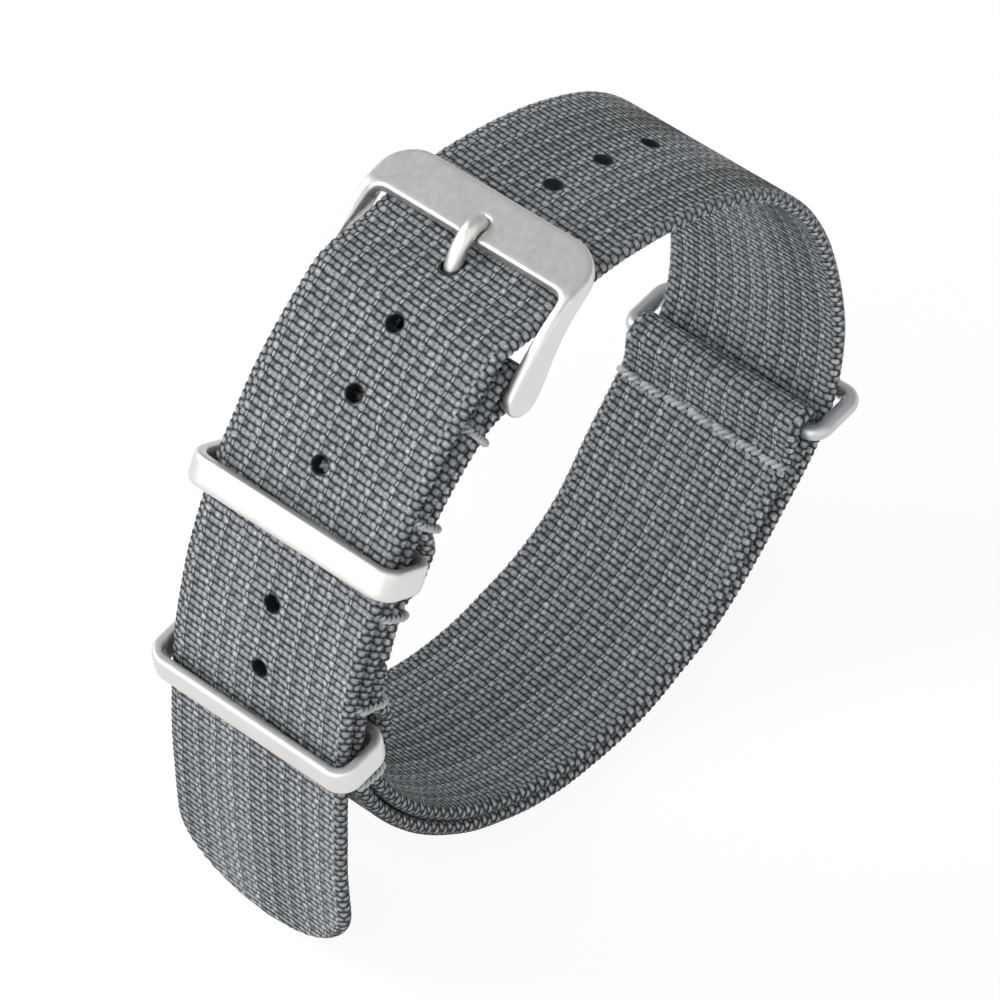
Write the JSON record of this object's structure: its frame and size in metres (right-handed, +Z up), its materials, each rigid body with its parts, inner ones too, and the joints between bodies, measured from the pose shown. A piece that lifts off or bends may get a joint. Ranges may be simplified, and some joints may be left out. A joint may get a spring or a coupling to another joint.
{
  "type": "watch strap",
  "caption": "Grey ribbed webbing watch strap of the pass-through kind, buckled into a loop, with a sloping-plate buckle, flat keepers and an end ring, all in satin steel.",
  "frame": {"origin": "the middle of the bounding box's underside, on the floor that the buckled loop and the strap's tip stand on", "axes": "+X from the free tail towards the end ring, +Y across the strap's width, +Z up, with the buckle near the top of the loop"},
  "size_m": [0.0702, 0.0238, 0.0647],
  "materials": {
    "webbing": "ribbed nylon weave, matt with a slight sheen on each yarn",
    "thread": "twisted polyester thread",
    "satin_steel": "fine bead-blasted satin with brighter bevels",
    "ring_steel": "satin wire"
  },
  "bodies": {
    "strap": {"main_strap": "webbing", "short_strap": "webbing", "buckle_fold_stitches": "thread", "upper_keeper_upper_stitches": "thread", "upper_keeper_lower_stitches": "thread", "lower_keeper_upper_stitches": "thread", "lower_keeper_lower_stitches": "thread", "ring_fold_stitches": "thread"},
    "buckle": {"buckle_frame": "satin_steel", "buckle_bar": "satin_steel"},
    "tongue": {"buckle_tongue": "satin_steel"},
    "upper_keeper": {"upper_keeper": "satin_steel"},
    "lower_keeper": {"lower_keeper": "satin_steel"},
    "end_ring": {"end_ring": "ring_steel"}
  },
  "joints": [
    {"name": "buckle_tilt", "type": "hinge", "parent": "strap", "child": "buckle", "pos_m": [-0.01168, 0, 0.05602], "axis": [0, -1, 0], "range_deg": [-1, 2]},
    {"name": "tongue_lift", "type": "hinge", "parent": "buckle", "child": "tongue", "pos_m": [-0.01168, 0, 0.05602], "axis": [0, -1, 0], "range_deg": [0, 2]},
    {"name": "upper_keeper_rock", "type": "hinge", "parent": "strap", "child": "upper_keeper", "pos_m": [-0.02361, 0, 0.04408], "axis": [0, -1, 0], "range_deg": [-15, 10]},
    {"name": "lower_keeper_rock", "type": "hinge", "parent": "strap", "child": "lower_keeper", "pos_m": [-0.02901, 0, 0.02784], "axis": [0, -1, 0], "range_deg": [-25, 0]},
    {"name": "end_ring_tilt", "type": "hinge", "parent": "strap", "child": "end_ring", "pos_m": [0.02877, 0, 0.02091], "axis": [0, -1, 0], "range_deg": [-40, 2]}
  ]
}
